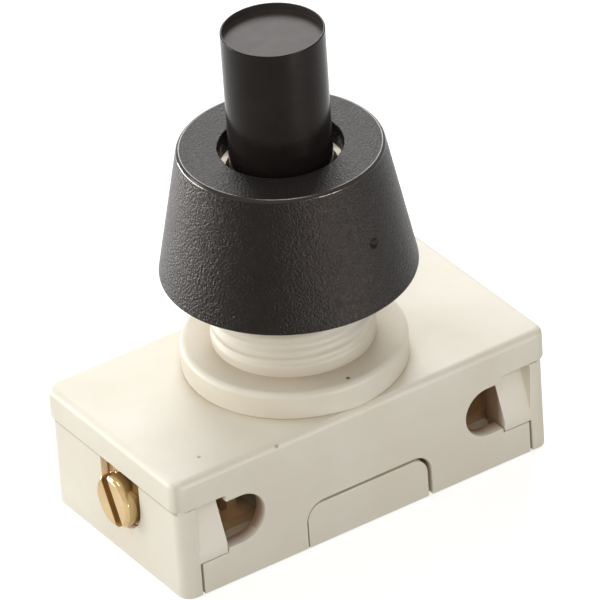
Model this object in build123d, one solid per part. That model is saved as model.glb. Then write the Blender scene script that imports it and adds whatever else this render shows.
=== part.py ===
from build123d import *
import os
from math import radians, sin

# Lamp pushbutton switch with a two-part snap housing, a threaded neck and a ratchet mechanism.
# Millimetres. Z is up along the neck, X runs along the housing, and Z = 0 is the underside of the base.

# Housing
body_length = 32.4
body_height = 10.0
lid_height = 2.5
parting_gap = 0.03
lid_overhang = 0.25
lid_thickness = 1.5
lid_edge_radius = 0.6
corner_radius = 1.0
skirt_thickness = 1.2
floor_thickness = 1.5
end_wall_thickness = 0.6
housing_gap = 0.1

# Snap corners: the cover's feet catch under the base's posts
post_length = 4.1
post_thickness = 2.2
foot_inset = 1.75
foot_height = 2.6
foot_end_gap = 0.18
foot_top_gap = 0.05
ramp_depth = 1.5
ramp_start_height = 3.5

# Locating keys of the base in the cover's skirts
key_length = 10.45
key_height = 3.45
key_radius = 1.3
key_gap = 0.2
key_play = 0.12

# Wire entries and terminal screws
terminal_axis_depth = 5.02
terminal_axis_offset = -0.9
wire_inset = 5.45
wire_radius = 1.97
notch_radius = 2.45
notch_offset = 0.2
screw_head_radius = 2.05
screw_head_height = 1.5
screw_head_edge = 0.2
screw_reach = 0.95
screw_slot_width = 0.95
screw_slot_depth = 0.9
screw_slot_tilts = {"left": -27.0, "right": 40.0}
screw_radius = 1.25
screw_length = 3.7
screw_tip_chamfer = 0.3
screw_clearance = 0.05

# Terminals, folded from brass sheet
sheet = 0.8
terminal_width = 7.6
terminal_gap = 0.05
flange_drop = 0.24
bend_radius = 0.8
leg_width = 5.0
leg_drop = 0.94
finger_width = 3.0
rib_thickness = 0.8
rib_length = 2.4
rib_height = 3.5
finger_gap = 0.3

# Contact tips and bridge
tip_radius = 0.8
tip_height = 0.4
tip_edge = 0.15
tip_margin = 0.1
tip_shank_radius = 0.45
contact_gap = 0.1
bridge_width = 2.6
bridge_thickness = 0.6
bridge_eye_radius = 2.6
pad_length = 2.4
pad_width = 1.6

# Shoulder and neck
shoulder_diameter = 16.5
shoulder_margin = 0.3
shoulder_height = 2.1
shoulder_edge = 0.25
neck_diameter = 12.0
neck_length = 14.15
neck_edge = 0.3
neck_bore_diameter = 8.1

# Button
button_diameter = 7.46
button_reach = 11.25
button_edge = 0.05
recess_depth = 0.58
recess_rim = 0.14
recess_corner = 0.04
press_travel = 3.0
flange_radius = 4.5
flange_height = 1.5
flange_depth = 7.3
flange_clearance = 0.08
stop_gap = 0.05
lug_reach = 0.45
lug_width = 1.4
core_radius = 2.0
cap_thickness = 2.0

# Ratchet: the button's prongs push the rotor's ramps round
rotor_radius = 3.9
seat_height = 0.2
rotor_web = 0.4
hub_radius = 2.8
hub_height = 1.4
nub_radius = 1.3
nub_height = 1.2
pivot_radius = 1.2
pivot_reach = 3.1
running_clearance = 0.05
ramp_width = 0.7
ramp_margin = 0.3
prong_clearance = 0.1
prong_thickness = 0.55
prong_sweep = 20.0
prong_lead = 2.0
ramp_count = 4

# Return spring
spring_wire = 0.5
spring_wire_sides = 8
spring_radius = 2.05
spring_turns = 6
spring_seat_gap = 0.03
spring_room = 14.8

# Ring nut
nut_height = 10.2
nut_bottom_diameter = 18.75
nut_top_diameter = 14.92
nut_hole_diameter = 8.96
nut_lip = 1.7
nut_clearance = 0.05
nut_bottom_edge = 0.2
nut_top_edge = 0.25
nut_hole_edge = 0.15
nut_wall = 1.1
nut_sleeve_wall = 1.2
nut_core_depth = 3.5

# Places that follow from the sizes above
body_width = shoulder_diameter + 2 * shoulder_margin
half_width = body_width / 2
base_end = body_length / 2 - lid_overhang
parting_height = body_height - lid_height
terminal_axis_height = body_height - terminal_axis_depth
base_top = parting_height - parting_gap
wall_inner = base_end - end_wall_thickness
ceiling = body_height - lid_thickness
skirt_inner = half_width - skirt_thickness
base_side = skirt_inner - housing_gap
post_edge = body_length / 2 - post_length
foot_end = body_length / 2 - foot_inset
wire_x = body_length / 2 - wire_inset
flange_x = wall_inner - terminal_gap
leg_x = wire_x - wire_radius
flange_top_height = base_top - flange_drop
leg_top_height = base_top - leg_drop
strip_top = floor_thickness + sheet
tip_top = strip_top + tip_height
bridge_bottom = tip_top + contact_gap
bridge_top = bridge_bottom + bridge_thickness
finger_end = rotor_radius + finger_gap
contact_radius = finger_end + tip_radius + tip_margin
bridge_length = 2 * (contact_radius + tip_radius + tip_margin)
shoulder_top = body_height + shoulder_height
neck_top = shoulder_top + neck_length
seat_top = floor_thickness + seat_height
drum_top = bridge_top + rotor_web
hub_top = drum_top + hub_height
pivot_top = floor_thickness + pivot_reach
ramp_outer = hub_radius + ramp_width
prong_inner = hub_radius + prong_clearance
prong_outer = prong_inner + prong_thickness
prong_end = 360.0 / ramp_count - prong_lead - prong_sweep
ramp_slope = (press_travel + ramp_margin) / (prong_inner * sin(radians(prong_end)))
ramp_top = drum_top + ramp_slope * ramp_outer
prong_tip = ramp_top + prong_clearance
prong_root = prong_tip + press_travel + prong_clearance
stop_height = neck_top - flange_depth
flange_top = stop_height - stop_gap
flange_bottom = flange_top - flange_height
counterbore_radius = flange_radius + flange_clearance
button_top = neck_top + button_reach
button_radius = button_diameter / 2
spring_top = hub_top + spring_room
nut_bottom = neck_top + nut_clearance + nut_lip - nut_height
nut_top = nut_bottom + nut_height


def block(x0, x1, y0, y1, z0, z1):
    """A box between the given planes."""
    centre = Pos((x0 + x1) / 2, (y0 + y1) / 2, (z0 + z1) / 2)
    return centre * Box(abs(x1 - x0), abs(y1 - y0), abs(z1 - z0))


def rod(radius, z0, z1):
    """A cylinder on the neck's axis."""
    return Pos(0, 0, z0) * Cylinder(radius, z1 - z0, align=(Align.CENTER, Align.CENTER, Align.MIN))


def terminal_rod(radius, x0, x1):
    """A cylinder on the axis of the terminal screw at the +X end."""
    place = Pos(x0, terminal_axis_offset, terminal_axis_height) * Rot(0, 90, 0)
    return place * Cylinder(radius, x1 - x0, align=(Align.CENTER, Align.CENTER, Align.MIN))


def rounded_block(length, z0, z1):
    """A block as wide as the body, with its four upright corners rounded."""
    outline = RectangleRounded(length, body_width, corner_radius)
    return extrude(Plane.XY.offset(z0) * outline, z1 - z0)


def patch(x0, x1, z0, z1):
    """A rectangle in the upright plane, given by its X and Z."""
    return Pos((x0 + x1) / 2, (z0 + z1) / 2) * Rectangle(x1 - x0, z1 - z0)


def key_outline(grow):
    """The locating key seen from the long side, grown by a gap and standing on the underside."""
    height = key_height + grow
    whole = RectangleRounded(key_length + 2 * grow, 2 * height, key_radius + grow)
    return whole & patch(-body_length, body_length, 0, body_height)


def front_slab(outline, y_inner, y_outer):
    """A long-side outline made solid between two distances from the middle, at the front."""
    return extrude(Plane.XZ.offset(y_inner) * outline, y_outer - y_inner)


def both_ends(piece):
    """A piece at the +X end with its copy at the -X end."""
    return piece + mirror(piece, about=Plane.YZ)


def both_sides(piece):
    """A piece at the front with its copy at the back."""
    return piece + mirror(piece, about=Plane.XZ)


def make_cover():
    """Lid, shoulder and threaded neck in one moulding, with a long skirt on each side."""
    lid = rounded_block(body_length, parting_height, body_height)
    lid = fillet(lid.edges().group_by(Axis.Z)[-1], lid_edge_radius)
    lid -= block(-wall_inner, wall_inner, -skirt_inner, skirt_inner, parting_height, ceiling)

    wall = patch(-post_edge + housing_gap, post_edge - housing_gap, 0, ceiling)
    feet = patch(-foot_end + foot_end_gap, foot_end - foot_end_gap, 0, foot_height)
    skirt = wall + feet - Pos(key_play, 0) * key_outline(key_gap)
    slot_bottom = terminal_axis_height - wire_radius
    slot = Pos(wire_x, terminal_axis_height) * Circle(wire_radius)
    slot += patch(wire_x, body_length, slot_bottom, slot_bottom + 2 * wire_radius)
    slots = slot + mirror(slot, about=Plane.YZ)
    front = front_slab(skirt - slots, skirt_inner, half_width)
    back = mirror(front_slab(skirt, skirt_inner, half_width), about=Plane.XZ)

    shoulder = rod(shoulder_diameter / 2, ceiling, shoulder_top)
    shoulder = chamfer(shoulder.edges().group_by(Axis.Z)[-1], shoulder_edge)
    neck = rod(neck_diameter / 2, ceiling, neck_top)
    neck = chamfer(neck.edges().group_by(Axis.Z)[-1], neck_edge)

    keyway_radius = counterbore_radius + lug_reach
    keyway_half = lug_width / 2 + flange_clearance
    keyway = block(-keyway_radius, keyway_radius, -keyway_half, keyway_half, ceiling, stop_height)
    bore = rod(neck_bore_diameter / 2, ceiling, neck_top)
    counterbore = rod(counterbore_radius, ceiling, stop_height)
    keyways = keyway & rod(keyway_radius, ceiling, stop_height)
    return lid + front + back + shoulder + neck - bore - counterbore - keyways


def make_base():
    """Floor, end walls and corner posts in one moulding, with the seats of the mechanism."""
    base = rounded_block(2 * base_end, 0, base_top)
    post_inner = half_width - post_thickness
    base -= block(-wall_inner, wall_inner, -post_inner, post_inner, floor_thickness, base_top)
    base -= block(-post_edge, post_edge, -half_width, half_width, floor_thickness, base_top)
    foot_pocket = block(-foot_end, foot_end, base_side, half_width, 0, foot_height + foot_top_gap)
    base -= both_sides(foot_pocket)

    key = front_slab(key_outline(0), base_side, half_width)
    base += both_sides(key)

    ramp_points = [
        (half_width, ramp_start_height),
        (half_width, base_top),
        (half_width - ramp_depth, base_top),
    ]
    ramp_face = make_face(Polyline(*ramp_points, close=True))
    ramp = extrude(Plane.YZ.offset(post_edge) * ramp_face, foot_end - post_edge)
    base -= both_sides(both_ends(ramp))

    notch = Pos(0, notch_offset, 0) * terminal_rod(notch_radius, wall_inner, base_end)
    notch_middle = terminal_axis_offset + notch_offset
    notch_sides = (notch_middle - notch_radius, notch_middle + notch_radius)
    notch += block(wall_inner, base_end, *notch_sides, terminal_axis_height, base_top)
    base -= both_ends(notch)

    rib_y = terminal_width / 2 + housing_gap
    rib_top = floor_thickness + rib_height
    for side in (-1, 1):
        near = terminal_axis_offset + side * rib_y
        far = near + side * rib_thickness
        rib = block(wall_inner - rib_length, wall_inner, near, far, floor_thickness, rib_top)
        base += both_ends(rib)

    pad_near = contact_radius - pad_width / 2
    pad_far = contact_radius + pad_width / 2
    pad = block(-pad_length / 2, pad_length / 2, pad_near, pad_far, floor_thickness, tip_top)
    base += both_sides(pad)
    seat = rod(rotor_radius, floor_thickness, seat_top)
    return base + seat + rod(pivot_radius, floor_thickness, pivot_top)


def make_terminal():
    """Brass strip folded up as the screw flange, with a lanced clamping leg and a contact finger."""
    strip_z = floor_thickness + sheet / 2
    flange_mid = flange_x - sheet / 2
    fold = FilletPolyline(
        (finger_end, strip_z), (flange_mid, strip_z), (flange_mid, flange_top_height), radius=bend_radius
    )
    profile = trace(fold, line_width=sheet)
    y0 = terminal_axis_offset - terminal_width / 2
    y1 = terminal_axis_offset + terminal_width / 2
    strip = extrude(Plane.XZ.offset(-y1) * profile, terminal_width)

    finger_root = leg_x - 2 * sheet
    for edge, side in ((y0, -finger_width / 2), (y1, finger_width / 2)):
        strip -= block(finger_end, finger_root, edge, side, floor_thickness, strip_top)

    leg_y0 = terminal_axis_offset - leg_width / 2
    leg_y1 = terminal_axis_offset + leg_width / 2
    leg_length = leg_top_height - strip_top
    strip -= block(leg_x, leg_x + leg_length, leg_y0, leg_y1, floor_thickness, strip_top)
    leg = block(leg_x - sheet, leg_x, leg_y0, leg_y1, floor_thickness, leg_top_height)
    screw_hole = terminal_rod(screw_radius + screw_clearance, flange_x - sheet, flange_x)
    shank_hole = Pos(contact_radius, 0, 0) * rod(tip_shank_radius, floor_thickness, strip_top)
    return strip + leg - screw_hole - shank_hole


def make_contact_tip():
    """Rivet contact: a low round head with its shank through the terminal's finger."""
    head = rod(tip_radius, strip_top, tip_top)
    head = chamfer(head.edges().group_by(Axis.Z)[-1], tip_edge)
    return Pos(contact_radius, 0, 0) * (head + rod(tip_shank_radius, floor_thickness, strip_top))


def make_terminal_screw(tilt):
    """Slotted cheese-head screw, with the slot turned by the tilt from upright."""
    head_outer = base_end + screw_reach
    head_inner = head_outer - screw_head_height
    head = terminal_rod(screw_head_radius, head_inner, head_outer)
    head = chamfer(head.edges().group_by(Axis.X)[-1], screw_head_edge)
    slot = Rot(tilt, 0, 0) * Box(2 * screw_slot_depth, screw_slot_width, 3 * screw_head_radius)
    head -= Pos(head_outer, terminal_axis_offset, terminal_axis_height) * slot
    shank = terminal_rod(screw_radius, head_inner - screw_length, head_inner)
    shank = chamfer(shank.edges().group_by(Axis.X)[0], screw_tip_chamfer)
    return head + shank


def make_bridge():
    """Brass contact bar with a round eye on the pivot, lying across the housing when off."""
    hole = Circle(pivot_radius + running_clearance)
    outline = SlotOverall(bridge_length, bridge_width, rotation=90) + Circle(bridge_eye_radius) - hole
    return extrude(Plane.XY.offset(bridge_bottom) * outline, bridge_thickness)


def make_rotor():
    """Ratchet drum: ramps on top for the prongs, a nub for the spring, a slot below for the bridge."""
    rotor = rod(rotor_radius, seat_top, drum_top) + rod(hub_radius, drum_top, hub_top)
    rotor += rod(nub_radius, hub_top, hub_top + nub_height)

    ramp_root = drum_top - rotor_web
    ramp_points = [(0, ramp_root), (0, ramp_top), (ramp_outer, drum_top), (ramp_outer, ramp_root)]
    ramp = extrude(Plane.YZ * make_face(Polyline(*ramp_points, close=True)), ramp_outer)
    ramp &= rod(ramp_outer, ramp_root, ramp_top) - rod(hub_radius, ramp_root, ramp_top)
    for index in range(ramp_count):
        rotor += Rot(0, 0, index * 360 / ramp_count) * ramp

    slot_width = bridge_width + 2 * running_clearance
    slot_outline = SlotOverall(bridge_length, slot_width, rotation=90)
    slot_outline += Circle(bridge_eye_radius + running_clearance)
    rotor -= extrude(Plane.XY.offset(seat_top) * slot_outline, bridge_top - seat_top)
    return rotor - rod(pivot_radius + running_clearance, seat_top, pivot_top + prong_clearance)


def make_button():
    """Hollow plunger: recessed cap, keyed flange that stops in the neck, and four prongs below."""
    cap = rod(button_radius, flange_top, button_top)
    cap = chamfer(cap.edges().group_by(Axis.Z)[-1], button_edge)
    recess = rod(button_radius - recess_rim, button_top - recess_depth, button_top)
    recess = chamfer(recess.edges().group_by(Axis.Z)[0], recess_corner)

    lug_radius = flange_radius + lug_reach
    flange = rod(flange_radius, flange_bottom, flange_top)
    lugs = block(-lug_radius, lug_radius, -lug_width / 2, lug_width / 2, flange_bottom, flange_top)
    flange += lugs & rod(lug_radius, flange_bottom, flange_top)

    sleeve = rod(prong_outer, prong_root, flange_bottom)
    core_top = button_top - recess_depth - cap_thickness
    button = cap - recess + flange + sleeve
    button -= rod(prong_inner, prong_root, spring_top)
    button -= rod(core_radius, spring_top, core_top)

    prong_face = Plane.XZ * patch(prong_inner, prong_outer, prong_tip, prong_root)
    prong = revolve(prong_face, axis=Axis.Z, revolution_arc=prong_sweep)
    for index in range(ramp_count):
        button += Rot(0, 0, prong_lead + index * 360 / ramp_count) * prong
    return button


def make_spring():
    """Steel coil spring from the rotor's hub to the step in the button's bore, its wire cut to few faces."""
    end_room = spring_wire / 2 + spring_seat_gap
    height = spring_room - 2 * end_room
    path = Pos(0, 0, hub_top + end_room) * Helix(height / spring_turns, height, spring_radius)
    section = Plane(origin=path @ 0, z_dir=path % 0) * RegularPolygon(spring_wire / 2, spring_wire_sides)
    return sweep(section, path=path, is_frenet=True)


def make_nut():
    """Conical ring nut: a threaded sleeve under a lip, in an outer cone that is cored from below."""
    bottom_radius = nut_bottom_diameter / 2
    top_radius = nut_top_diameter / 2
    hole_radius = nut_hole_diameter / 2
    bore_radius = neck_diameter / 2 + nut_clearance
    taper = (bottom_radius - top_radius) / nut_height
    sleeve_radius = bore_radius + nut_sleeve_wall
    core_top = nut_bottom + nut_core_depth
    points = [
        (hole_radius, nut_top),
        (hole_radius, nut_top - nut_lip),
        (bore_radius, nut_top - nut_lip),
        (bore_radius, nut_bottom),
        (sleeve_radius, nut_bottom),
        (sleeve_radius, core_top),
        (bottom_radius - nut_wall - taper * nut_core_depth, core_top),
        (bottom_radius - nut_wall, nut_bottom),
        (bottom_radius, nut_bottom),
        (top_radius, nut_top),
    ]
    nut = revolve(Plane.XZ * make_face(Polyline(*points, close=True)), axis=Axis.Z)
    for level, place, edge in ((-1, -1, nut_top_edge), (-1, 0, nut_hole_edge), (0, -1, nut_bottom_edge)):
        rims = nut.edges().filter_by(GeomType.CIRCLE).group_by(Axis.Z)[level]
        nut = chamfer(rims.sort_by(SortBy.RADIUS)[place], edge)
    return nut


terminal = make_terminal()
contact_tip = make_contact_tip()
pieces = {
    "cover": make_cover(),
    "base": make_base(),
    "ring_nut": make_nut(),
    "button": make_button(),
    "rotor": make_rotor(),
    "contact_bridge": make_bridge(),
    "return_spring": make_spring(),
    "terminal_left": mirror(terminal, about=Plane.YZ),
    "terminal_right": terminal,
    "contact_tip_left": mirror(contact_tip, about=Plane.YZ),
    "contact_tip_right": contact_tip,
    "terminal_screw_left": mirror(make_terminal_screw(screw_slot_tilts["left"]), about=Plane.YZ),
    "terminal_screw_right": make_terminal_screw(screw_slot_tilts["right"]),
}

os.makedirs("parts", exist_ok=True)
for name, piece in pieces.items():
    export_step(piece, f"parts/{name}.step")
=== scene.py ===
import math
import bmesh
import bpy
from mathutils import Matrix, Vector


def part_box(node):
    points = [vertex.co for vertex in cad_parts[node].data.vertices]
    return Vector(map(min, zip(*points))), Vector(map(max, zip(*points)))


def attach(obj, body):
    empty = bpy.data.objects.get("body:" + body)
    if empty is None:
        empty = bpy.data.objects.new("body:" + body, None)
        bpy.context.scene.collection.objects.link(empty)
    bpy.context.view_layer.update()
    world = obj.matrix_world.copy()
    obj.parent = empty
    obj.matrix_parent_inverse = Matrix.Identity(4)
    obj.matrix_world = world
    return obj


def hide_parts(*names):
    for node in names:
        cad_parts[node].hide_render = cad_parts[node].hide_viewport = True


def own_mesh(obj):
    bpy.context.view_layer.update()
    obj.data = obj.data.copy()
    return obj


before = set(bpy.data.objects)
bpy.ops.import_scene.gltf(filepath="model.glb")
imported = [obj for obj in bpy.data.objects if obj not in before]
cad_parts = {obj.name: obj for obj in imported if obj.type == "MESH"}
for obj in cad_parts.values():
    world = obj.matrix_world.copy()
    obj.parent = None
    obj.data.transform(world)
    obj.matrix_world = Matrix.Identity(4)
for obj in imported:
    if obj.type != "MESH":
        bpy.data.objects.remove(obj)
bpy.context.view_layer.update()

# Base. The lower half of the housing is one ivory moulding with a floor, end walls and corner posts.
# Its edges carry the small radius that a steel mould leaves, and its faces the mould's faint texture.
# The cover snaps over it. Shade is painted into its colour: brown in its seams and nooks, deeper brown inside
# it, and a painted shadow line under the lid's overhang.
MM = 0.001
WELD = 0.002 * MM
FLAT_ENOUGH = math.radians(0.4)
SHARP_EDGE = math.radians(25)
CREASE = math.radians(40)
MOULD_EDGE = 0.09 * MM
EDGE_STEPS = 2
ROUND = 0.5
NOISE_MIDDLE = (0.3, 0.7)
OPENNESS_RAYS = 8
IVORY = (0.860, 0.812, 0.705, 1)
IVORY_DEEP = (0.810, 0.748, 0.622, 1)
# Painted shade colours: in seams and under the lid's overhang, in nooks, and inside the housing.
IVORY_SEAM_SHADE = (0.420, 0.320, 0.200, 1)
IVORY_SHADE = (0.470, 0.360, 0.235, 1)
IVORY_INSIDE_SHADE = (0.380, 0.250, 0.160, 1)
IVORY_MOTTLE = 6 * MM
IVORY_GRAIN = 0.16 * MM
IVORY_GRAIN_DEPTH = 0.012 * MM
IVORY_GRAIN_STRENGTH = 0.25
IVORY_ROUGH = (0.48, 0.60)
IVORY_SHINE = 0.28
HOUSING_HALF = Vector((16.2, 8.55, 5.0)) * MM
# Depths over which painted shade turns the inside of the base brown.
BASE_INSIDE_SHADE = (1.3 * MM, 3.0 * MM)
UNDER_NUT = (16 * MM, 18 * MM)
BELOW_LID_TOP = (9.8 * MM, 9.5 * MM)
# Painted shade in the nooks around the neck and shoulder: how far it looks, how open a place must be to stay
# unshaded, and how little of it upright faces take.
SHADE_REACH = 7 * MM
SHADE_OPEN = (0.15, 0.78)
LEVEL_TO_UPRIGHT = (0.7, 0.3)
UPRIGHT_UNSHADED = 0.85
# Where painted shade darkens the sides of the wire entries.
ENTRY_SIDEWAYS = (0.6, 0.7)
ENTRY_FROM_END = (2.7 * MM, 2.9 * MM)
ENTRY_DEPTH = (0.1 * MM, 0.9 * MM)
SEAM_REACH = 0.4 * MM
SEAM_OPEN = (0.05, 0.42)
# A painted shadow line on the end walls under the lid's overhang.
LID_LINE = 7.16 * MM
LID_LINE_FADE = LID_LINE - 0.11 * MM
LID_LINE_UNSHADED = 0.45
LID_LINE_TOP = (LID_LINE + 0.30 * MM, LID_LINE + 0.31 * MM)
LID_LINE_FROM_END = (0.27 * MM, 0.45 * MM)
SPECK_HEART = 0.3


def cad_copy(piece):
    """The mesh of a CAD piece with its seams welded, ready to be worked on."""
    bm = bmesh.new()
    bm.from_mesh(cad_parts[piece].data)
    bmesh.ops.remove_doubles(bm, verts=bm.verts, dist=WELD)
    return bm


def soft_edged(bm, name, radius):
    """Rounds off the sharp edges of worked mesh data and makes an object of it."""
    bmesh.ops.dissolve_limit(bm, angle_limit=FLAT_ENOUGH, verts=bm.verts, edges=bm.edges)
    sharp = [e for e in bm.edges if e.is_manifold and e.calc_face_angle() > SHARP_EDGE]
    bmesh.ops.bevel(
        bm,
        geom=sharp,
        offset=radius,
        segments=EDGE_STEPS,
        profile=ROUND,
        affect="EDGES",
        clamp_overlap=False,
    )
    bmesh.ops.recalc_face_normals(bm, faces=bm.faces)
    return finished(bm, name)


def finished(bm, name):
    """Turns worked mesh data into a smooth-shaded object."""
    mesh = bpy.data.meshes.new(name)
    bm.to_mesh(mesh)
    bm.free()
    for layer in ("custom_normal", "sharp_edge", "sharp_face"):
        if layer in mesh.attributes:
            mesh.attributes.remove(mesh.attributes[layer])
    smoothed(mesh)
    piece = bpy.data.objects.new(name, mesh)
    bpy.context.scene.collection.objects.link(piece)
    return piece


def smoothed(mesh):
    """Shades a mesh smooth up to its creases and takes off its materials."""
    mesh.shade_smooth()
    mesh.set_sharp_from_angle(angle=CREASE)
    mesh.materials.clear()


def even_shading(piece):
    """Keeps flat faces flat next to their rounded edges."""
    weighted = piece.modifiers.new("even shading", "WEIGHTED_NORMAL")
    weighted.keep_sharp = True
    return piece


def feed(tree, value, socket):
    """Gives a socket a constant, or the value of another socket."""
    if isinstance(value, bpy.types.NodeSocket):
        tree.links.new(value, socket)
    else:
        socket.default_value = value


def wire(tree, made, **sockets):
    """Feeds a shader node's sockets by name."""
    for socket, value in sockets.items():
        feed(tree, value, made.inputs[socket.replace("_", " ")])


def node(tree, kind, **sockets):
    """Adds a shader node and feeds its sockets by name."""
    made = tree.nodes.new(kind)
    wire(tree, made, **sockets)
    return made


def new_finish(name):
    """An empty material with its node tree, shader and object coordinates."""
    finish = bpy.data.materials.new(name)
    finish.use_nodes = True
    tree = finish.node_tree
    shader = tree.nodes["Principled BSDF"]
    place = tree.nodes.new("ShaderNodeTexCoord").outputs["Object"]
    return finish, tree, shader, place


def noise(tree, place, size, detail=2):
    """Noise with features of about the given size in metres."""
    return node(tree, "ShaderNodeTexNoise", Vector=place, Scale=1 / size, Detail=detail).outputs["Fac"]


def ramp(tree, value, start, end, low=0, high=1):
    """Maps a value between two places onto a range, and holds it beyond them."""
    made = node(tree, "ShaderNodeMapRange", Value=value, From_Min=start, From_Max=end, To_Min=low, To_Max=high)
    return made.outputs["Result"]


def spread(tree, value, low=0, high=1):
    """Maps the middle of a noise onto a range."""
    return ramp(tree, value, *NOISE_MIDDLE, low, high)


def blend_colours(tree, share, low, high):
    """A colour between two others; low and high are colours or sockets."""
    made = tree.nodes.new("ShaderNodeMix")
    made.data_type = "RGBA"
    wire(tree, made, Factor=share)
    for socket, colour in (("A", low), ("B", high)):
        feed(tree, colour, next(s for s in made.inputs if s.name == socket and s.type == "RGBA"))
    return next(s for s in made.outputs if s.type == "RGBA")


def bumped(tree, height, strength, depth):
    """A bump normal from a height, with its depth in metres."""
    return node(tree, "ShaderNodeBump", Height=height, Strength=strength, Distance=depth).outputs["Normal"]


def openness(tree, reach, low, high):
    """How open a place lies to its surroundings, from 0 deep in a crease to 1 on a free face."""
    around = node(tree, "ShaderNodeAmbientOcclusion", Distance=reach)
    around.samples = OPENNESS_RAYS
    return ramp(tree, around.outputs["AO"], low, high)


def number_step(tree, operation, *values):
    """One operation on one or two sockets."""
    made = tree.nodes.new("ShaderNodeMath")
    made.operation = operation
    for value, socket in zip(values, made.inputs):
        tree.links.new(value, socket)
    return made.outputs["Value"]


def least(tree, value, *others):
    """The smallest of several values."""
    for other in others:
        value = number_step(tree, "MINIMUM", value, other)
    return value


def most(tree, value, *others):
    """The largest of several values."""
    for other in others:
        value = number_step(tree, "MAXIMUM", value, other)
    return value


def vector_step(tree, operation, value, constant=(0, 0, 0)):
    """One vector operation on a socket, with a constant as its second value."""
    made = tree.nodes.new("ShaderNodeVectorMath")
    made.operation = operation
    tree.links.new(value, made.inputs[0])
    made.inputs[1].default_value = constant
    return made.outputs


def in_parts(tree, vector):
    """The X, Y and Z of a vector."""
    return node(tree, "ShaderNodeSeparateXYZ", Vector=vector).outputs


def facing(tree):
    """The X, Y and Z of the direction that a face looks in."""
    return in_parts(tree, tree.nodes.new("ShaderNodeNewGeometry").outputs["True Normal"])


def ways_in(tree, place):
    """How far a place lies inside the housing's ends, sides and levels, in metres; below 0 outside them."""
    centred = vector_step(tree, "SUBTRACT", place, (0, 0, HOUSING_HALF.z))["Vector"]
    outward = vector_step(tree, "ABSOLUTE", centred)["Vector"]
    left = vector_step(tree, "MULTIPLY", outward, (-1, -1, -1))["Vector"]
    return in_parts(tree, vector_step(tree, "ADD", left, HOUSING_HALF)["Vector"])


def ivory_moulding(name, inside_shade, specks=()):
    """Ivory thermoset: faintly mottled, satin, with painted shade in its nooks and seams, inside it and in its
    wire entries, and a painted shadow line under the lid.
    """
    finish, tree, shader, place = new_finish(name)
    mottle = spread(tree, noise(tree, place, IVORY_MOTTLE, detail=3))
    colour = blend_colours(tree, mottle, IVORY, IVORY_DEEP)
    height = in_parts(tree, place)["Z"]
    inward = ways_in(tree, place)
    depth = least(tree, inward["X"], inward["Y"], inward["Z"])
    way = facing(tree)
    covered = ramp(tree, height, *UNDER_NUT)
    # Painted shade: brown in nooks that are closed within a few millimetres, full on level faces and light on
    # upright ones, none on the neck under the ring nut or below the lid's top.
    shade_free = most(
        tree,
        openness(tree, SHADE_REACH, *SHADE_OPEN),
        ramp(tree, way["Z"], *LEVEL_TO_UPRIGHT, 0, UPRIGHT_UNSHADED),
        covered,
        ramp(tree, height, *BELOW_LID_TOP),
    )
    colour = blend_colours(tree, shade_free, IVORY_SHADE, colour)
    # Painted shade: deep brown inside the housing, from the given depths in.
    colour = blend_colours(tree, ramp(tree, depth, *inside_shade), colour, IVORY_INSIDE_SHADE)
    # Painted shade on the sides of the wire entries.
    entry_shade = least(
        tree,
        ramp(tree, number_step(tree, "ABSOLUTE", way["X"]), *ENTRY_SIDEWAYS),
        ramp(tree, inward["X"], *ENTRY_FROM_END),
        ramp(tree, depth, *ENTRY_DEPTH),
    )
    colour = blend_colours(tree, entry_shade, colour, IVORY_INSIDE_SHADE)
    # Painted shade in narrow seams and creases, kept off the neck under the ring nut.
    seam_unshaded = most(tree, openness(tree, SEAM_REACH, *SEAM_OPEN), covered)
    colour = blend_colours(tree, seam_unshaded, IVORY_SEAM_SHADE, colour)
    # Painted shadow line on the end walls, under the lid's overhang.
    lid_shadow_free = most(
        tree,
        ramp(tree, height, LID_LINE, LID_LINE_FADE, LID_LINE_UNSHADED, 1),
        ramp(tree, inward["X"], *LID_LINE_FROM_END),
        ramp(tree, height, *LID_LINE_TOP),
    )
    colour = blend_colours(tree, lid_shadow_free, IVORY_SEAM_SHADE, colour)
    for centre, size, speck_colour in specks:
        away = vector_step(tree, "DISTANCE", place, Vector(centre) * MM)["Value"]
        clear = ramp(tree, away, SPECK_HEART * size * MM, size * MM)
        colour = blend_colours(tree, clear, speck_colour, colour)
    texture = noise(tree, place, IVORY_GRAIN)
    wire(
        tree,
        shader,
        Base_Color=colour,
        Roughness=spread(tree, texture, *IVORY_ROUGH),
        Normal=bumped(tree, texture, IVORY_GRAIN_STRENGTH, IVORY_GRAIN_DEPTH),
        Specular_IOR_Level=IVORY_SHINE,
    )
    return finish


base = even_shading(soft_edged(cad_copy("base"), "base_moulding", MOULD_EDGE))
base.data.materials.append(ivory_moulding("ivory base", BASE_INSIDE_SHADE))
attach(base, "housing")
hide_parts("base")

# Terminals. Two brass strips folded up behind the end walls, each with a lanced leg that the wire
# is clamped against, and a silver rivet contact set in its finger.
SHEET_EDGE = 0.06 * MM
BRASS = (0.760, 0.575, 0.345, 1)
BRASS_DARK = (0.600, 0.410, 0.245, 1)
SILVER = (0.750, 0.740, 0.700, 1)
SILVER_DULL = (0.520, 0.510, 0.480, 1)
TARNISH = 2.5 * MM
GRIME = (0.560, 0.390, 0.235, 1)
GRIME_REACH = 0.9 * MM
GRIME_OPEN = (0.10, 0.60)
DRAWING_MARK_STRENGTH = 0.1
DRAWING_MARK_DEPTH = 0.006 * MM


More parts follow.
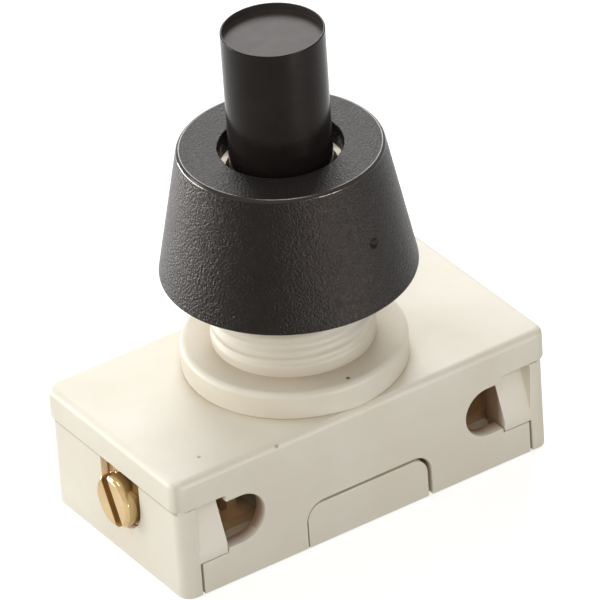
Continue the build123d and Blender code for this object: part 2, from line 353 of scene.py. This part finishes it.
def metal_finish(name, bright, dull, rough, marks, bare=1):
    """Metal, uneven in colour and gloss, with fine drawing marks; bare falls below 1 where it is tarnished."""
    finish, tree, shader, place = new_finish(name)
    tarnish = spread(tree, noise(tree, place, TARNISH))
    colour = blend_colours(tree, tarnish, bright, dull)
    colour = blend_colours(tree, openness(tree, GRIME_REACH, *GRIME_OPEN), GRIME, colour)
    texture = noise(tree, place, marks, detail=3)
    wire(
        tree,
        shader,
        Base_Color=colour,
        Metallic=bare,
        Roughness=spread(tree, texture, *rough),
        Normal=bumped(tree, texture, DRAWING_MARK_STRENGTH, DRAWING_MARK_DEPTH),
    )
    return finish


def coat(piece, finish):
    """Gives a carried-over CAD piece its material."""
    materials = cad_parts[piece].data.materials
    materials.clear()
    materials.append(finish)


rolled_brass = metal_finish("rolled brass", BRASS, BRASS_DARK, rough=(0.28, 0.45), marks=0.2 * MM, bare=0.45)
dull_silver = metal_finish("dull silver", SILVER, SILVER_DULL, rough=(0.3, 0.5), marks=0.15 * MM)
for side in ("left", "right"):
    terminal = soft_edged(cad_copy(f"terminal_{side}"), f"terminal_sheet_{side}", SHEET_EDGE)
    even_shading(terminal).data.materials.append(rolled_brass)
    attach(terminal, "housing")
    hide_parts(f"terminal_{side}")
    coat(f"contact_tip_{side}", dull_silver)

# Terminal screws. Turned brass cheese heads with a sawn slot, screwed through the folded strips
# from the two ends of the housing.
SCREW_EDGE = 0.05 * MM
SCREW_BRASS = (0.600, 0.435, 0.220, 1)
SCREW_BRASS_DARK = (0.480, 0.330, 0.150, 1)
turned_brass = metal_finish(
    "turned brass", SCREW_BRASS, SCREW_BRASS_DARK, rough=(0.13, 0.22), marks=0.25 * MM, bare=0.85
)
for side in ("left", "right"):
    screw = soft_edged(cad_copy(f"terminal_screw_{side}"), f"screw_{side}", SCREW_EDGE)
    even_shading(screw).data.materials.append(turned_brass)
    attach(screw, f"screw_{side}")
    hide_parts(f"terminal_screw_{side}")

# Rotor and contact bridge. A moulded ratchet drum on the base's pivot, with a brass bar in its
# underside that joins the two contacts.
NYLON = (0.80, 0.80, 0.76, 1)
NYLON_DULL = (0.72, 0.72, 0.67, 1)
NYLON_CLOUD = 2 * MM
NYLON_GRAIN = 0.3 * MM
NYLON_ROUGH = (0.35, 0.5)
nylon, tree, shader, place = new_finish("rotor nylon")
cloud = spread(tree, noise(tree, place, NYLON_CLOUD, detail=3))
wire(
    tree,
    shader,
    Base_Color=blend_colours(tree, cloud, NYLON, NYLON_DULL),
    Roughness=spread(tree, noise(tree, place, NYLON_GRAIN), *NYLON_ROUGH),
)
coat("rotor", nylon)
coat("contact_bridge", rolled_brass)

# Return spring. Drawn steel wire wound as a coil, standing on the rotor's hub inside the button.
# It shortens as the button is pressed.
WIRE = 0.25 * MM
WIRE_SIDES = 12
COIL = 2.05 * MM
TURNS = 6
STEPS_A_TURN = 40
STEEL = (0.52, 0.52, 0.53, 1)
STEEL_DULL = (0.36, 0.36, 0.37, 1)
SPRING_LOW, SPRING_HIGH = (corner.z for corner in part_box("return_spring"))


def coil_spring(name):
    """Round wire swept along the coil, with its two ends cut flat."""
    rise = SPRING_HIGH - SPRING_LOW - 2 * WIRE
    steps = STEPS_A_TURN * TURNS
    bm = bmesh.new()
    rings = []
    for step in range(steps + 1):
        share = step / steps
        angle = 2 * math.pi * TURNS * share
        out = Vector((math.cos(angle), math.sin(angle), 0))
        forward = Vector((-COIL * out.y, COIL * out.x, rise / (2 * math.pi * TURNS))).normalized()
        across = forward.cross(out)
        middle = out * COIL + Vector((0, 0, SPRING_LOW + WIRE + rise * share))
        ring = []
        for spoke in range(WIRE_SIDES):
            turn = 2 * math.pi * spoke / WIRE_SIDES
            ring.append(bm.verts.new(middle + WIRE * (math.cos(turn) * out + math.sin(turn) * across)))
        rings.append(ring)
    for ring, following in zip(rings, rings[1:]):
        for spoke in range(WIRE_SIDES):
            bm.faces.new((ring[spoke - 1], ring[spoke], following[spoke], following[spoke - 1]))
    bm.faces.new(rings[0])
    bm.faces.new(list(reversed(rings[-1])))
    bmesh.ops.recalc_face_normals(bm, faces=bm.faces)
    return finished(bm, name)


spring = coil_spring("coil_spring")
spring.data.materials.append(
    metal_finish("spring steel", STEEL, STEEL_DULL, rough=(0.22, 0.4), marks=0.12 * MM)
)
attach(spring, "housing")
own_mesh(spring)
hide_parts("return_spring")

# Button. A long black plunger with a dished top, moulded smooth and slightly glossy. It slides in
# the neck. Its dish is painted light grey, partly as dust and partly as a painted sheen, and a thin film of it
# dulls its sides.
BUTTON_EDGE = 0.02 * MM
BLACK = (0.0080, 0.0063, 0.0058, 1)
BLACK_WORN = (0.0110, 0.0090, 0.0083, 1)
BLACK_GLOSS = (1, 0.89, 0.82, 1)
# The dish's light grey: partly dust, partly painted sheen.
BLACK_DUST_AND_SHEEN = (0.0520, 0.0435, 0.0400, 1)
BLACK_HANDLED_AND_SHEEN = (0.0380, 0.0315, 0.0290, 1)
# A lighter grey painted on level faces as a painted sheen.
BLACK_LEVEL_SHEEN = (0.0180, 0.0158, 0.0150, 1)
BLACK_CLOUD = 2.5 * MM
LEVEL_FACE = (0.95, 0.99)
LEVEL_GRAIN = 0.6
DUST_AND_SHEEN_PATCH = 1.1 * MM
DUST_ROUGH = 0.36
DUST_AND_SHEEN_FILM = 0.12
DISH_DEPTH = 0.58 * MM
DISH_RIM = (3.71 * MM, 3.67 * MM)


def blend_values(tree, share, low, high):
    """A value between two others; low and high are numbers or sockets."""
    return node(tree, "ShaderNodeMix", Factor=share, A=low, B=high).outputs["Result"]


def black_moulding(name, rough, grain, depth, shine, dust_and_sheen=None):
    """Black thermoset with a fine grain, smoother on level faces, where it is painted a lighter grey as a
    painted sheen; the last argument gives the share of dust and painted sheen that lies on it.
    """
    finish, tree, shader, place = new_finish(name)
    cloud = spread(tree, noise(tree, place, BLACK_CLOUD, detail=4))
    colour = blend_colours(tree, cloud, BLACK, BLACK_WORN)
    level = ramp(tree, facing(tree)["Z"], *LEVEL_FACE)
    # Painted sheen: level faces are painted a lighter grey.
    colour = blend_colours(tree, level, colour, BLACK_LEVEL_SHEEN)
    texture = noise(tree, place, grain, detail=3)
    roughness = spread(tree, texture, *rough)
    # Dust and painted sheen: the dish and a thin film on the sides are painted light grey.
    if dust_and_sheen:
        share = dust_and_sheen(tree, place)
        patches = spread(tree, noise(tree, place, DUST_AND_SHEEN_PATCH, detail=5))
        dust_and_sheen_colour = blend_colours(tree, patches, BLACK_DUST_AND_SHEEN, BLACK_HANDLED_AND_SHEEN)
        colour = blend_colours(tree, share, colour, dust_and_sheen_colour)
        roughness = blend_values(tree, share, roughness, DUST_ROUGH)
    wire(
        tree,
        shader,
        Base_Color=colour,
        Roughness=roughness,
        Normal=bumped(tree, texture, ramp(tree, level, 0, 1, 1, LEVEL_GRAIN), depth),
        Specular_IOR_Level=shine,
        Specular_Tint=BLACK_GLOSS,
    )
    return finish


def button_dust_and_sheen(tree, place):
    """How much dust and painted sheen the button carries: all of the dish in its top, and a thin film on its
    sides.
    """
    dish = Vector((0, 0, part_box("button")[1].z - DISH_DEPTH))
    away = vector_step(tree, "DISTANCE", place, dish)["Value"]
    return ramp(tree, away, *DISH_RIM, DUST_AND_SHEEN_FILM, 1)


button = even_shading(soft_edged(cad_copy("button"), "button_plunger", BUTTON_EDGE))
button.data.materials.append(
    black_moulding(
        "smooth black", rough=(0.15, 0.21), grain=0.8 * MM, depth=0.001 * MM, shine=0.095, dust_and_sheen=button_dust_and_sheen
    )
)
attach(button, "button")
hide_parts("button")

# Cover. The upper half of the housing is one ivory moulding with the lid, the snap skirts, a round
# shoulder that seats against the panel, and the threaded neck that the ring nut screws on.
HAIR = 0.001 * MM
LID_TOP = 10.0 * MM
SHOULDER = 8.25 * MM
SHOULDER_TOP = 12.1 * MM
SHOULDER_EDGE = 0.45 * MM
SHOULDER_FOOT = 0.04 * MM
NECK = 6.0 * MM
NECK_ROOT = LID_TOP - 0.5 * MM
NECK_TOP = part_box("cover")[1].z
NECK_CHAMFER = 0.3 * MM
NECK_RINGS = 128
BORE = 4.05 * MM
COUNTERBORE = 4.58 * MM
STOP = 18.95 * MM
BELOW_CEILING = 7.5 * MM
KEYWAY_REACH = 5.03 * MM
KEYWAY_HALF = 0.78 * MM
PITCH = 1.25 * MM
THREAD_DEPTH = 0.20 * MM
THREAD_FLANK = (0.04, 0.42)
THREAD_START = (SHOULDER_TOP + 0.4 * MM, SHOULDER_TOP + 1.1 * MM)
FIRST_ROOT = 13.35 * MM
FRONT_ANGLE = math.radians(239)
LATHE_STEPS = 144
ROUND_STEPS = 6
# Depths over which painted shade turns the inside of the cover brown.
COVER_INSIDE_SHADE = (0.1 * MM, 1.0 * MM)
COVER_SPECKS = (
    ((-0.41, -7.50, 12.10), 0.22, (0.060, 0.085, 0.040, 1)),
    ((-7.40, -8.50, 9.75), 0.22, (0.420, 0.330, 0.210, 1)),
    ((-12.66, -6.41, 10.0), 0.20, (0.480, 0.390, 0.260, 1)),
)


def smooth_step(value, low, high):
    """Rises softly from 0 at low to 1 at high."""
    share = min(1, max(0, (value - low) / (high - low)))
    return share * share * (3 - 2 * share)


def arc(centre, radius, start, end):
    """Outline points on an arc, with its angles in degrees from outward to up."""
    angles = [math.radians(start + (end - start) * i / ROUND_STEPS) for i in range(ROUND_STEPS + 1)]
    return [(centre[0] + radius * math.cos(a), centre[1] + radius * math.sin(a)) for a in angles]


def turned(name, outline, closed, shift=None):
    """A body of revolution from (radius, height) points; shift moves points in or out by angle and height."""
    bm = bmesh.new()
    rings = []
    for radius, height in outline:
        ring = []
        for step in range(LATHE_STEPS):
            angle = 2 * math.pi * step / LATHE_STEPS
            reach = radius + (shift(angle, radius, height) if shift else 0)
            ring.append(bm.verts.new((reach * math.cos(angle), reach * math.sin(angle), height)))
        rings.append(ring)
    for ring, following in zip(rings, rings[1:] + (rings[:1] if closed else [])):
        for step in range(LATHE_STEPS):
            bm.faces.new((ring[step - 1], ring[step], following[step], following[step - 1]))
    if not closed:
        bm.faces.new(rings[0])
        bm.faces.new(rings[-1])
    bmesh.ops.recalc_face_normals(bm, faces=bm.faces)
    return finished(bm, name)


def work(piece, tool, operation):
    """Joins a tool body to a piece or cuts it away, then removes the tool."""
    cut = piece.modifiers.new("cut", "BOOLEAN")
    cut.operation = operation
    cut.solver = "EXACT"
    cut.object = tool
    bpy.context.view_layer.update()
    graph = bpy.context.evaluated_depsgraph_get()
    mesh = bpy.data.meshes.new_from_object(piece.evaluated_get(graph))
    piece.modifiers.clear()
    piece.data = mesh
    bpy.data.objects.remove(tool)


def lid_plate(name):
    """The cover's lid and skirts alone, with the neck taken off and the openings it leaves closed."""
    bm = cad_copy("cover")
    high = [v for v in bm.verts if v.co.z > LID_TOP + HAIR]
    bmesh.ops.delete(bm, geom=high, context="VERTS")
    bmesh.ops.holes_fill(bm, edges=[e for e in bm.edges if e.is_boundary], sides=0)
    return soft_edged(bm, name, MOULD_EDGE)


def thread_groove(angle, height):
    """How deep the thread is cut at a point of the neck, from 0 on the crest to 1 at the root."""
    turns = (angle - FRONT_ANGLE) / (2 * math.pi)
    phase = (height - FIRST_ROOT) / PITCH - turns
    from_root = abs(phase - round(phase))
    groove = 1 - smooth_step(from_root, *THREAD_FLANK)
    return groove * smooth_step(height, *THREAD_START)


def neck_shift(angle, radius, height):
    """Cuts the thread into the neck's outside only."""
    if abs(radius - NECK) > HAIR or height > NECK_TOP - NECK_CHAMFER:
        return 0
    return -THREAD_DEPTH * thread_groove(angle, height)


neck_outline = [
    (SHOULDER - SHOULDER_FOOT, NECK_ROOT),
    (SHOULDER - SHOULDER_FOOT, LID_TOP + 0.5 * SHOULDER_FOOT),
    (SHOULDER, LID_TOP + 1.5 * SHOULDER_FOOT),
]
neck_outline += arc((SHOULDER - SHOULDER_EDGE, SHOULDER_TOP - SHOULDER_EDGE), SHOULDER_EDGE, 0, 90)
neck_outline += [
    (NECK, SHOULDER_TOP + (NECK_TOP - NECK_CHAMFER - SHOULDER_TOP) * i / NECK_RINGS)
    for i in range(NECK_RINGS + 1)
]
neck_outline += [
    (NECK - NECK_CHAMFER, NECK_TOP),
    (BORE, NECK_TOP),
    (BORE, STOP),
    (COUNTERBORE, STOP),
    (COUNTERBORE, NECK_ROOT),
]
cover = lid_plate("cover_moulding")
work(cover, turned("neck", neck_outline, closed=True, shift=neck_shift), "UNION")
drill = [(COUNTERBORE, BELOW_CEILING), (COUNTERBORE, LID_TOP)]
work(cover, turned("drill", drill, closed=False), "DIFFERENCE")
keyway = bmesh.new()
bmesh.ops.create_cube(
    keyway,
    size=1,
    matrix=Matrix.Translation((0, 0, (BELOW_CEILING + STOP) / 2))
    @ Matrix.Diagonal((2 * KEYWAY_REACH, 2 * KEYWAY_HALF, STOP - BELOW_CEILING, 1)),
)
work(cover, finished(keyway, "keyway"), "DIFFERENCE")
smoothed(cover.data)
even_shading(cover)
cover.data.materials.append(ivory_moulding("ivory cover", COVER_INSIDE_SHADE, COVER_SPECKS))
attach(cover, "housing")
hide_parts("cover")

# Ring nut. A black moulded cone with a thread inside and a cored underside, screwed down the neck
# by hand. Its outside has the fine grain of an etched mould and one small pit, and its upper rim
# is rubbed smooth.
NUT_LOW, NUT_HIGH = (corner.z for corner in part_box("ring_nut"))
NUT_HEIGHT = NUT_HIGH - NUT_LOW
NUT_BOTTOM = 9.375 * MM
NUT_TOP = 7.46 * MM
NUT_TAPER = (NUT_BOTTOM - NUT_TOP) / NUT_HEIGHT
NUT_SLOPE = math.degrees(math.atan(NUT_TAPER))
NUT_HOLE = 4.48 * MM
NUT_BORE = 6.05 * MM
NUT_BORE_RINGS = 76
NUT_LIP = 1.7 * MM
NUT_SLEEVE = 7.25 * MM
NUT_WALL = 1.1 * MM
NUT_CORE = 3.5 * MM
NUT_TOP_EDGE = 0.28 * MM
NUT_HOLE_EDGE = 0.12 * MM
NUT_BOTTOM_EDGE = 0.20 * MM
NUT_THREAD = 0.40 * MM
NUT_THREAD_START = 0.4 * MM
NUT_GRAIN = 0.17 * MM
LEVEL = 0.999
PIT_ANGLE = math.radians(-75.8)
PIT_HEIGHT = 22.89 * MM
PIT_RADIUS = 0.50 * MM
PIT_DEPTH = 0.22 * MM


def nut_shift(angle, radius, height):
    """Cuts the thread into the nut's bore only."""
    if abs(radius - NUT_BORE) > HAIR:
        return 0
    end = smooth_step(height, NUT_LOW, NUT_LOW + NUT_THREAD_START)
    return NUT_THREAD * thread_groove(angle, height) * end


def rounded_rim(radius, height, edge, start, end):
    """A rounded rim of the nut between two face directions, inside its sharp corner."""
    turn = math.radians(end - start)
    reach = edge / math.cos(turn / 2)
    middle = math.radians((start + end) / 2)
    centre = (radius - reach * math.cos(middle), height - reach * math.sin(middle))
    return arc(centre, edge, start, end)


nut_outline = rounded_rim(NUT_BOTTOM, NUT_LOW, NUT_BOTTOM_EDGE, -90, NUT_SLOPE)
nut_outline += rounded_rim(NUT_TOP, NUT_HIGH, NUT_TOP_EDGE, NUT_SLOPE, 90)
nut_outline += rounded_rim(NUT_HOLE, NUT_HIGH, NUT_HOLE_EDGE, 90, 180)
nut_outline += [(NUT_HOLE, NUT_HIGH - NUT_LIP)]
nut_outline += [
    (NUT_BORE, NUT_HIGH - NUT_LIP - (NUT_HEIGHT - NUT_LIP) * i / NUT_BORE_RINGS)
    for i in range(NUT_BORE_RINGS + 1)
]
nut_outline += [
    (NUT_SLEEVE, NUT_LOW),
    (NUT_SLEEVE, NUT_LOW + NUT_CORE),
    (NUT_BOTTOM - NUT_WALL - NUT_TAPER * NUT_CORE, NUT_LOW + NUT_CORE),
    (NUT_BOTTOM - NUT_WALL, NUT_LOW),
]
ring_nut = turned("ring_nut_cone", nut_outline, closed=True, shift=nut_shift)
pit_reach = NUT_BOTTOM - NUT_TAPER * (PIT_HEIGHT - NUT_LOW) + PIT_RADIUS - PIT_DEPTH
pit = Vector((pit_reach * math.cos(PIT_ANGLE), pit_reach * math.sin(PIT_ANGLE), PIT_HEIGHT))
pit_tool = bmesh.new()
bmesh.ops.create_icosphere(pit_tool, subdivisions=3, radius=PIT_RADIUS, matrix=Matrix.Translation(pit))
work(ring_nut, finished(pit_tool, "pit"), "DIFFERENCE")
smoothed(ring_nut.data)
even_shading(ring_nut)
ring_nut.data.materials.append(
    black_moulding("grained black", rough=(0.28, 0.42), grain=NUT_GRAIN, depth=0.12 * MM, shine=0.135)
)
ring_nut.data.materials.append(
    black_moulding("rubbed black", rough=(0.14, 0.18), grain=NUT_GRAIN, depth=0.012 * MM, shine=0.42)
)
for face in ring_nut.data.polygons:
    outside = math.hypot(face.center.x, face.center.y) > NUT_TOP - NUT_TOP_EDGE
    on_top = face.center.z > NUT_HIGH - NUT_TOP_EDGE
    if outside and on_top and face.normal.z < LEVEL:
        face.material_index = 1
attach(ring_nut, "ring_nut")
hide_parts("ring_nut")

# Stage. A plain pale floor that runs past the frame, under a soft sky that is brighter on the left.
# Soft lamps stand behind on the left and right and at the front, sheens show only as gloss, and
# small glows stand for the light that finds its way into the openings.
WHITE = (1, 1, 1, 1)
FLOOR_HALF = 3.0
FLOOR_DROP = 0.02 * MM
FLOOR_COLOUR = (0.58, 0.58, 0.57, 1)
FLOOR_ROUGH = 0.9
FLOOR_SHINE = 0.1
FLOOR_GLOW = 0.65
SKY = 0.60
SKY_LEAN = 0.24
MIDDLE = Vector((0, 0, 0.016))
SHEEN = (1, 0.98, 0.96)
MICROWATT = 0.000001
ENTRY_GLOW = (1, 0.78, 0.60)
NOTCH_GLOW = (1, 0.90, 0.74)
RIM_GLOW = (1, 0.97, 0.92)


def hung(name, light, place):
    """Hangs a light at a place in metres."""
    holder = bpy.data.objects.new(name, light)
    holder.location = place
    bpy.context.scene.collection.objects.link(holder)
    return holder


def lamp(name, place, width, height, power, colour):
    """A soft lamp at a place in metres that points at the middle of the object."""
    light = bpy.data.lights.new(name, "AREA")
    light.shape = "RECTANGLE"
    light.size = width
    light.size_y = height
    light.energy = power
    light.color = colour
    holder = hung(name, light, place)
    holder.rotation_mode = "QUATERNION"
    holder.rotation_quaternion = (Vector(place) - MIDDLE).to_track_quat("Z", "Y")
    return holder


def glow(name, place, radius, power, colour):
    """A tiny light at a place in millimetres, inside an opening, with its power in microwatts."""
    light = bpy.data.lights.new(name, "POINT")
    light.shadow_soft_size = radius * MM
    light.energy = power * MICROWATT
    light.color = colour
    hung(name, light, Vector(place) * MM).visible_glossy = False


def seen_directly(tree):
    """1 for what the camera sees, straight or in a gloss or through a clear body, and 0 for other light."""
    path = tree.nodes.new("ShaderNodeLightPath").outputs
    return most(tree, path["Is Camera Ray"], path["Is Glossy Ray"], path["Is Transmission Ray"])


floor_mesh = bmesh.new()
bmesh.ops.create_grid(
    floor_mesh, x_segments=1, y_segments=1, size=FLOOR_HALF, matrix=Matrix.Translation((0, 0, -FLOOR_DROP))
)
floor = finished(floor_mesh, "floor")
pale, tree, shader, place = new_finish("pale floor")
wire(
    tree,
    shader,
    Base_Color=FLOOR_COLOUR,
    Roughness=FLOOR_ROUGH,
    Specular_IOR_Level=FLOOR_SHINE,
    Emission_Color=WHITE,
    Emission_Strength=ramp(tree, seen_directly(tree), 0, 1, 0, FLOOR_GLOW),
)
floor.data.materials.append(pale)

world = bpy.data.worlds.new("soft sky")
bpy.context.scene.world = world
world.use_nodes = True
tree = world.node_tree
direction = in_parts(tree, tree.nodes.new("ShaderNodeTexCoord").outputs["Generated"])
lean = ramp(tree, direction["X"], -1, 1, SKY + SKY_LEAN, SKY - SKY_LEAN)
strength = ramp(tree, seen_directly(tree), 0, 1, lean, 1)
wire(tree, tree.nodes["Background"], Color=WHITE, Strength=strength)

lamp("key lamp", (-0.444, 0.557, 0.365), width=0.22, height=0.22, power=1.3, colour=(0.98, 1, 1))
lamp("side lamp", (-0.62, 0.46, 0.09), width=0.30, height=0.25, power=0.95, colour=(1, 1, 0.98))
lamp("back panel", (0.34, 0.58, 0.45), width=0.45, height=0.36, power=4.1, colour=(0.97, 0.99, 1))
front = lamp("front lamp", (-0.30, -0.58, 0.48), width=0.25, height=0.20, power=0.65, colour=(1, 0.92, 0.78))
front.visible_glossy = False
sheens = (
    lamp("top sheen", (0.05, 0.08, 0.80), width=0.25, height=0.25, power=2.5, colour=(1, 0.99, 0.98)),
    lamp("left sheen", (-0.070, 0.0935, 0.005), width=0.10, height=0.02, power=0.29, colour=SHEEN),
    lamp("right sheen", (0.021, -0.098, 0.005), width=0.05, height=0.016, power=0.18, colour=SHEEN),
)
for sheen in sheens:
    sheen.visible_diffuse = False
glow("left entry glow", (-9.0, -4.5, 4.8), radius=0.8, power=24, colour=ENTRY_GLOW)
glow("right entry glow", (12.2, -4.0, 4.6), radius=0.8, power=16, colour=ENTRY_GLOW)
glow("screw notch glow", (-15.65, -0.2, 7.8), radius=0.15, power=45, colour=NOTCH_GLOW)
glow("left rim glow", (-2.74, 3.27, 27.0), radius=0.15, power=16, colour=RIM_GLOW)
glow("right rim glow", (4.16, -0.96, 27.0), radius=0.15, power=16, colour=RIM_GLOW)

# Camera. A long lens above the front left corner, turned a little on its axis as in the photograph.
# It looks past the middle of the object by a small step to the side and up.
AZIMUTH = math.radians(-32.147)
ELEVATION = math.radians(32.992)
ROLL = math.radians(-4.001)
DISTANCE = 578.978 * MM
TARGET = Vector((0, 0, 16)) * MM
SIDE_STEP = -0.687 * MM
UP_STEP = 1.017 * MM
SENSOR = 36.0
LENS = 484.67
NEAREST = 0.01
FARTHEST = 20
back = Vector(
    (
        math.sin(AZIMUTH) * math.cos(ELEVATION),
        -math.cos(AZIMUTH) * math.cos(ELEVATION),
        math.sin(ELEVATION),
    )
)
level_right = Vector((math.cos(AZIMUTH), math.sin(AZIMUTH), 0))
level_up = back.cross(level_right)
right = math.cos(ROLL) * level_right + math.sin(ROLL) * level_up
up = -math.sin(ROLL) * level_right + math.cos(ROLL) * level_up
eye = TARGET + back * DISTANCE - right * SIDE_STEP - up * UP_STEP
camera = bpy.data.objects.new("camera", bpy.data.cameras.new("camera"))
camera.data.sensor_width = SENSOR
camera.data.lens = LENS
camera.data.clip_start = NEAREST
camera.data.clip_end = FARTHEST
camera.matrix_world = Matrix(
    (
        (right.x, up.x, back.x, eye.x),
        (right.y, up.y, back.y, eye.y),
        (right.z, up.z, back.z, eye.z),
        (0, 0, 0, 1),
    )
)
bpy.context.scene.collection.objects.link(camera)
bpy.context.scene.camera = camera
bpy.context.scene.view_settings.view_transform = "Standard"
